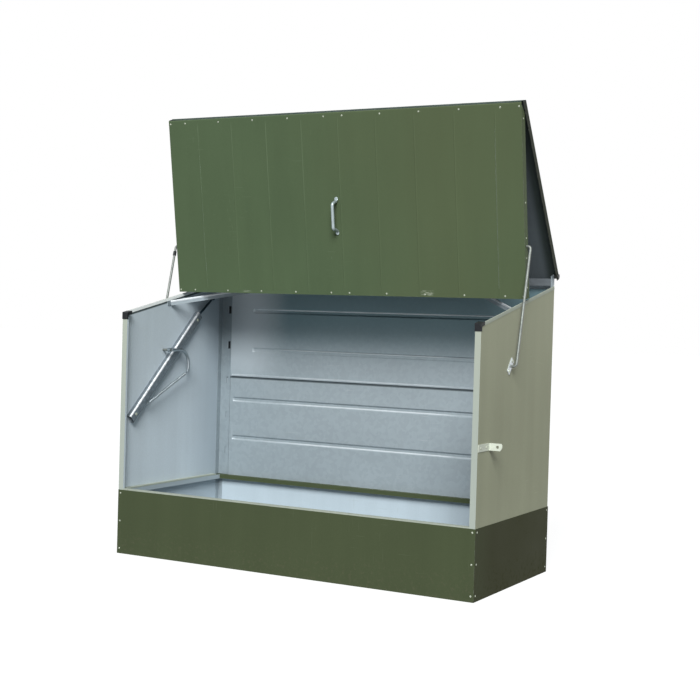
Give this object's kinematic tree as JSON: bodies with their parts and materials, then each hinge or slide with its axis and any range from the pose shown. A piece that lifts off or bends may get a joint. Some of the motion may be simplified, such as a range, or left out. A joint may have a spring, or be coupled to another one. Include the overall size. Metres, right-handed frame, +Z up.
{
  "type": "bike shelter",
  "caption": "Low bicycle store of coated steel sheet with a lift-up lid, a hanging front door on link rods, galvanised inner faces and a tray floor.",
  "frame": {"origin": "on the ground under the middle of the store, midway in X between the padlock tabs and in Y between the front caps and the raised lid's rear edge", "axes": "+X to the right seen from the door side, +Y to the rear where the lid is hinged, +Z up"},
  "size_m": [2.02, 0.8786, 2.1711],
  "materials": {
    "green": "semi-matt factory coat, scratched and dusty",
    "sage": "semi-matt factory coat",
    "pale": "semi-matt coat, light",
    "galvanised": "galvanised sheet, dull",
    "zinc": "zinc plated",
    "black_plastic": "moulded, matt",
    "dark_steel": "black finish, greasy"
  },
  "bodies": {
    "frame": {"floor_trays": "galvanised", "base_front": "green", "base_back": "green", "base_left": "green", "base_right": "green", "corner_angles": "galvanised", "front_sill": "pale", "side_sills": "pale", "wall_left": "sage", "wall_right": "sage", "wall_trims": "pale", "corner_caps": "black_plastic", "back_wall_lower": "galvanised", "back_wall_upper": "galvanised", "corner_posts": "galvanised", "rear_rail": "galvanised", "hinge_brackets": "galvanised", "hinge_pins": "dark_steel", "rod_brackets": "zinc", "padlock_tabs": "pale", "spring_channels": "galvanised", "spring_rods": "dark_steel", "corner_braces": "galvanised"},
    "lid": {"lid_panel": "green", "lid_flanges": "green", "lid_stiffeners": "galvanised"},
    "link_arms": {"link_rods": "zinc", "rod_collar": "black_plastic", "spring_levers": "zinc"},
    "door": {"door_hinge": "dark_steel", "door_panel_left": "green", "door_panel_right": "green", "door_sides": "green", "door_rails": "galvanised", "door_stile": "galvanised", "door_handle": "zinc"}
  },
  "joints": [
    {"name": "rod_pivot", "type": "hinge", "parent": "frame", "child": "link_arms", "pos_m": [0, -0.1073, 0.99223], "axis": [1, 0, 0], "range_deg": [0, 156.55]},
    {"name": "door_pivot", "type": "hinge", "parent": "link_arms", "child": "door", "pos_m": [0, 0.02162, 1.52802], "axis": [1, 0, 0], "range_deg": [-165.25, 0]},
    {"name": "lid_hinge", "type": "hinge", "parent": "frame", "child": "lid", "pos_m": [0, 0.4177, 1.408], "axis": [1, 0, 0], "range_deg": [0, 70.02]}
  ],
  "couplings": [
    {"joint": "lid_hinge", "follows": "rod_pivot", "ratio": 0.44714},
    {"joint": "door_pivot", "follows": "rod_pivot", "ratio": -1.0549}
  ]
}
